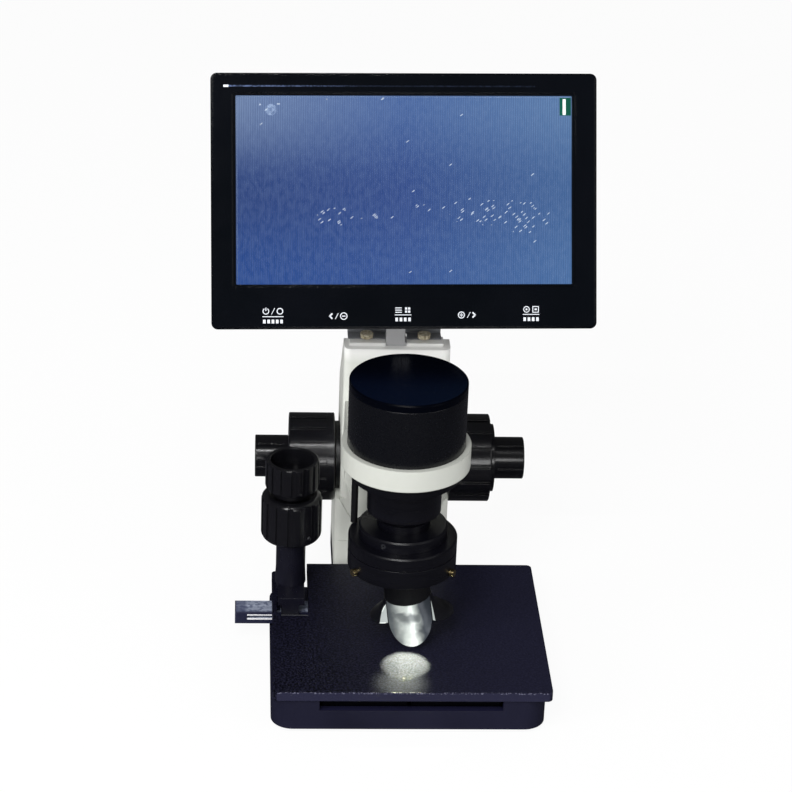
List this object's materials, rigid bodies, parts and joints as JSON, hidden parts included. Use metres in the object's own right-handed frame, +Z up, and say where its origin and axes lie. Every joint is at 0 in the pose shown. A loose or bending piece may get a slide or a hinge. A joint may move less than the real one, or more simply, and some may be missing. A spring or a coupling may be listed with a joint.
{
  "type": "lcd digital microscope",
  "caption": "Bench microscope with a tilting LCD monitor, a camera tube with a ring light and petal reflector, rack focusing and an XY stage driven by coaxial knobs.",
  "frame": {"origin": "centre of the bounding box's bottom face, on the bench under the rubber feet", "axes": "+Z up; -Y is the front, where the screen and stage face; +X is the user's right; the stand's centre plane and the monitor's centre lie on X = 0"},
  "size_m": [0.1785, 0.1751, 0.2664],
  "materials": {
    "black_enamel": "satin black enamel on cast metal",
    "white_enamel": "smooth off-white enamel",
    "black_anodised": "black anodised, fine turned",
    "black_plastic": "moulded black plastic, fine grain",
    "gloss_black": "glossy black housing plastic",
    "bright_steel": "brushed steel",
    "grey_sheet": "grey coated sheet steel",
    "brass": "polished brass",
    "reflector_foil": "crumpled silver foil facing",
    "rubber": "soft black rubber",
    "lens_glass": "coated optical glass",
    "circuit_board": "green solder mask",
    "led_plastic": "clear white LED resin",
    "screen": "unlit LCD face",
    "film": "thin clear protective film"
  },
  "bodies": {
    "stand": {"base_casting": "black_enamel", "base_cover": "grey_sheet", "rubber_feet": "rubber", "cover_screws": "bright_steel", "x_rail": "bright_steel", "rail_screws": "bright_steel", "front_guide_rails": "black_anodised", "column_foot": "white_enamel", "column_lower": "white_enamel", "column_upper": "white_enamel", "dovetail_ways": "bright_steel", "focus_bushes": "black_anodised", "monitor_bracket": "grey_sheet", "bracket_screws": "brass", "hinge_pin": "bright_steel"},
    "x_slide": {"x_carriage": "bright_steel", "drive_housing": "black_anodised", "housing_screws": "bright_steel", "drive_stem": "black_anodised"},
    "stage": {"stage_plate": "black_enamel", "y_slides": "bright_steel", "slide_screws": "bright_steel", "y_rack": "black_enamel"},
    "x_drive": {"stage_x_knob": "black_plastic", "x_pinion_shaft": "bright_steel"},
    "y_drive": {"stage_y_knob": "black_plastic", "y_pinion_tube": "bright_steel", "knob_set_screw": "bright_steel"},
    "focus_head": {"focus_arm": "white_enamel", "focus_rack": "bright_steel", "camera_tube": "black_anodised", "tube_cap": "black_anodised", "camera_board": "circuit_board", "image_sensor": "black_plastic", "tube_base": "black_anodised", "zoom_barrel": "black_anodised", "relay_lens": "lens_glass", "clamp_collar": "black_anodised", "collar_screw": "bright_steel", "illuminator_top": "black_anodised", "illuminator_ring": "black_anodised", "led_board": "circuit_board", "leds": "led_plastic", "illuminator_screws": "brass", "objective_lens": "lens_glass", "reflector_sleeve": "rubber", "reflector_petals": "reflector_foil", "led_lead": "rubber"},
    "coarse_drive": {"coarse_pinion_shaft": "bright_steel", "coarse_knob_left": "black_plastic", "coarse_knob_right": "black_plastic"},
    "fine_drive": {"fine_shaft": "bright_steel", "fine_knob_left": "black_plastic", "fine_knob_right": "black_plastic"},
    "monitor": {"monitor_bezel": "gloss_black", "monitor_rear_shell": "gloss_black", "lcd_panel": "screen", "screen_film": "film", "main_board": "circuit_board", "monitor_hinge_plate": "grey_sheet"}
  },
  "joints": [
    {"name": "stage_x", "type": "slide", "parent": "stand", "child": "x_slide", "axis": [1, 0, 0], "range_m": [-0.014, 0.01]},
    {"name": "stage_y", "type": "slide", "parent": "x_slide", "child": "stage", "axis": [0, 1, 0], "range_m": [-0.012, 0.008]},
    {"name": "x_knob_turn", "type": "hinge", "parent": "x_slide", "child": "x_drive", "pos_m": [-0.0493, 0.006, 0.06], "axis": [0, 0, 1], "range_deg": [-105, 146]},
    {"name": "y_knob_turn", "type": "hinge", "parent": "x_slide", "child": "y_drive", "pos_m": [-0.0493, 0.006, 0.06], "axis": [0, 0, 1], "range_deg": [-90, 130]},
    {"name": "focus_slide", "type": "slide", "parent": "stand", "child": "focus_head", "axis": [0, 0, 1], "range_m": [-0.0015, 0.02]},
    {"name": "coarse_turn", "type": "hinge", "parent": "stand", "child": "coarse_drive", "pos_m": [0, 0.0623, 0.0632], "axis": [1, 0, 0], "range_deg": [-145, 12]},
    {"name": "fine_turn", "type": "hinge", "parent": "coarse_drive", "child": "fine_drive", "pos_m": [0, 0.0623, 0.0632], "axis": [1, 0, 0], "continuous": true},
    {"name": "monitor_tilt", "type": "hinge", "parent": "stand", "child": "monitor", "pos_m": [0, 0.0383, 0.16485], "axis": [1, 0, 0], "range_deg": [-15, 20]}
  ],
  "couplings": [
    {"joint": "x_knob_turn", "follows": "stage_x", "rad_per_m": -178.57},
    {"joint": "y_knob_turn", "follows": "stage_y", "rad_per_m": -178.57},
    {"joint": "coarse_turn", "follows": "focus_slide", "rad_per_m": -125}
  ]
}
